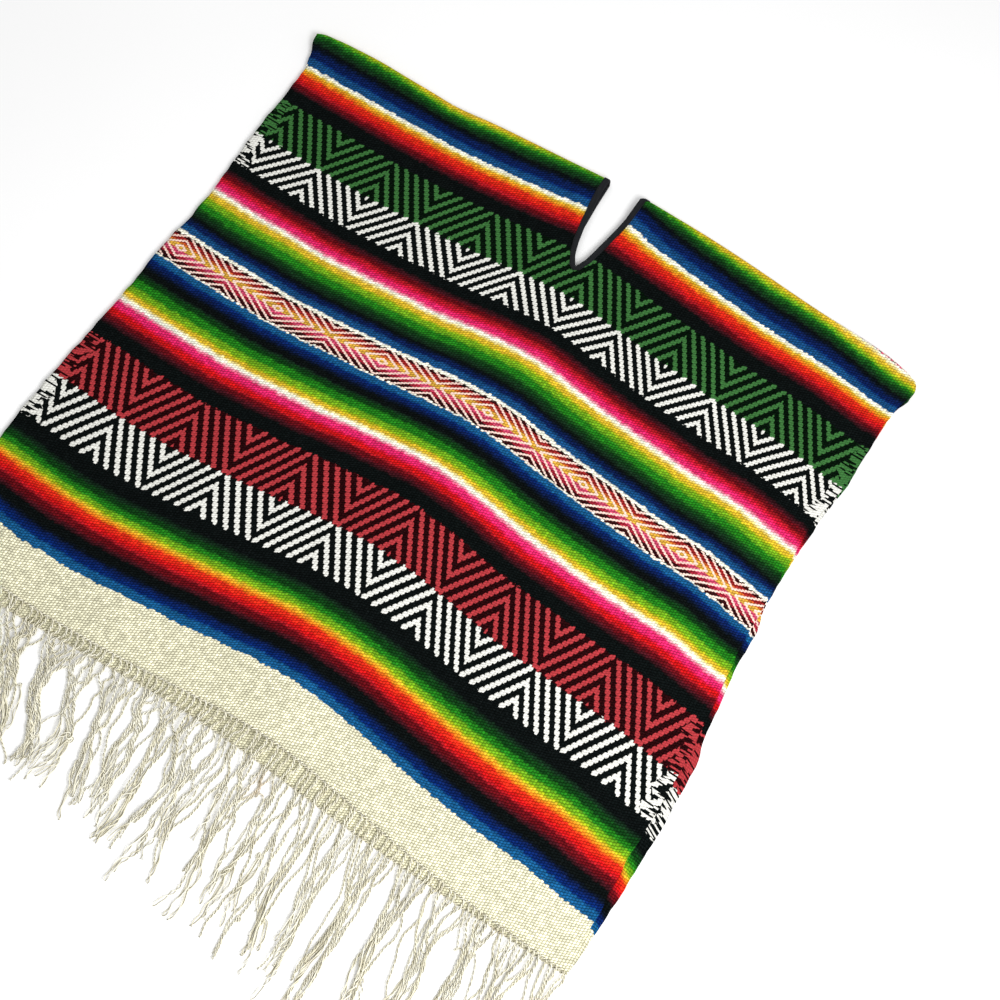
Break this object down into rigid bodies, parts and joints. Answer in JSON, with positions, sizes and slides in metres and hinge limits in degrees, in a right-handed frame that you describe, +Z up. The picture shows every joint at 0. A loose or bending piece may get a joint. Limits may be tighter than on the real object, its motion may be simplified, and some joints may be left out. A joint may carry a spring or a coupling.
{
  "type": "mexican serape poncho",
  "caption": "Handwoven serape poncho laid flat and folded at the shoulder, with a taped neck slit and loose warp fringe at both hems.",
  "frame": {"origin": "on the floor, under the middle of the whole part, fringe included", "axes": "+X across the cloth to the right of someone looking at the front layer from the hems, +Y from the hems towards the shoulder fold, +Z up out of the front layer"},
  "size_m": [1.0764, 1.303, 0.0149],
  "materials": {
    "woven_cloth": "weft-faced handwoven wool, striped, matt with a slight nap",
    "neck_tape": "black folded cotton tape, matt",
    "fringe_yarn": "unbleached twisted cotton warp yarn, matt"
  },
  "bodies": {
    "root": {"front_left": "woven_cloth", "front_right": "woven_cloth", "back_panel": "woven_cloth", "neck_tape": "neck_tape", "front_fringe": "fringe_yarn", "back_fringe": "fringe_yarn"}
  },
  "joints": []
}
